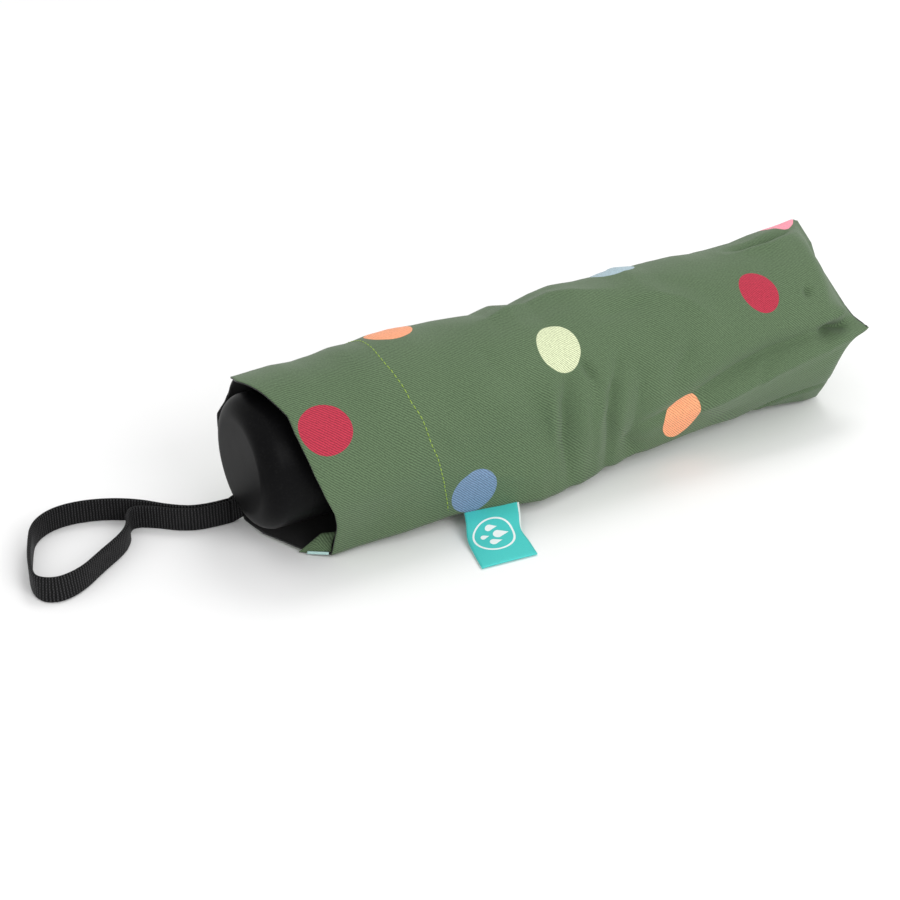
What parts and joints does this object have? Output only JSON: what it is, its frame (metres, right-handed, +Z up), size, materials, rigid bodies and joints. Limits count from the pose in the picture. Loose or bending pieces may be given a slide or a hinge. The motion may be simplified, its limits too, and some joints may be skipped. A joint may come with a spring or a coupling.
{
  "type": "children's folding umbrella",
  "caption": "Closed folding umbrella in a soft dotted fabric sleeve, with a round black handle cap, telescopic shaft, folded ribs and a webbing wrist loop.",
  "frame": {"origin": "on the surface that the umbrella lies on, under the shaft's axis, halfway from the handle's end face to the sleeve's closed end", "axes": "+X along the shaft to the sleeve's closed end, +Z up, and the wrist strap leaves on the +Y side"},
  "size_m": [0.2851, 0.0849, 0.0573],
  "materials": {
    "handle_plastic": "soft-touch black, rubberised, fine satin",
    "black_plastic": "moulded black nylon",
    "shaft_steel": "drawn steel tube, black-nickel to bright",
    "wire_steel": "bright wire",
    "rib_steel": "pressed plated strip",
    "rib_tip_plastic": "small black moulded tips",
    "strap_webbing": "black ribbed polyester webbing",
    "canopy_cloth": "green polyester twill with coloured dots",
    "snap_metal": "pressed snap fastener",
    "sleeve_cloth": "green polyester twill with coloured dots, dark coated inside",
    "stitch_thread": "yellow-green sewing thread",
    "label_cloth": "teal woven label, folded"
  },
  "bodies": {
    "handle": {"end_cap": "handle_plastic", "grip": "handle_plastic", "tube_pin": "shaft_steel", "strap_anchor_pin": "shaft_steel", "strap_tail": "strap_webbing", "wrist_strap": "strap_webbing", "lower_tube": "shaft_steel", "lower_tube_catch": "shaft_steel"},
    "middle_stage": {"middle_tube": "shaft_steel", "middle_tube_catch": "shaft_steel"},
    "canopy_stage": {"upper_tube": "shaft_steel", "crown": "black_plastic", "crown_wire": "wire_steel", "ferrule": "black_plastic", "runner": "black_plastic", "runner_wire": "wire_steel", "stretcher_1": "rib_steel", "upper_rib_1": "rib_steel", "middle_rib_1": "rib_steel", "end_rib_1": "rib_steel", "rib_tip_1": "rib_tip_plastic", "pull_rod_1": "rib_steel", "stretcher_2": "rib_steel", "upper_rib_2": "rib_steel", "middle_rib_2": "rib_steel", "end_rib_2": "rib_steel", "rib_tip_2": "rib_tip_plastic", "pull_rod_2": "rib_steel", "stretcher_3": "rib_steel", "upper_rib_3": "rib_steel", "middle_rib_3": "rib_steel", "end_rib_3": "rib_steel", "rib_tip_3": "rib_tip_plastic", "pull_rod_3": "rib_steel", "stretcher_4": "rib_steel", "upper_rib_4": "rib_steel", "middle_rib_4": "rib_steel", "end_rib_4": "rib_steel", "rib_tip_4": "rib_tip_plastic", "pull_rod_4": "rib_steel", "stretcher_5": "rib_steel", "upper_rib_5": "rib_steel", "middle_rib_5": "rib_steel", "end_rib_5": "rib_steel", "rib_tip_5": "rib_tip_plastic", "pull_rod_5": "rib_steel", "stretcher_6": "rib_steel", "upper_rib_6": "rib_steel", "middle_rib_6": "rib_steel", "end_rib_6": "rib_steel", "rib_tip_6": "rib_tip_plastic", "pull_rod_6": "rib_steel", "rib_rivets": "wire_steel", "canopy": "canopy_cloth", "tie_strap": "canopy_cloth", "tie_snap": "snap_metal"},
    "release_button": {"runner_button": "black_plastic"},
    "sleeve": {"sleeve": "sleeve_cloth", "hem_stitch": "stitch_thread", "sleeve_label": "label_cloth"}
  },
  "joints": [
    {"name": "middle_tube_slide", "type": "slide", "parent": "handle", "child": "middle_stage", "axis": [1, 0, 0], "range_m": [0, 0.115]},
    {"name": "upper_tube_slide", "type": "slide", "parent": "middle_stage", "child": "canopy_stage", "axis": [1, 0, 0], "range_m": [0, 0.13]},
    {"name": "runner_button_press", "type": "slide", "parent": "canopy_stage", "child": "release_button", "axis": [0, 0.5, -0.866], "range_m": [0, 0.0012], "stiffness_N_per_m": 400},
    {"name": "sleeve_pull_off", "type": "slide", "parent": "canopy_stage", "child": "sleeve", "axis": [1, 0, 0], "range_m": [0, 0.24]}
  ]
}
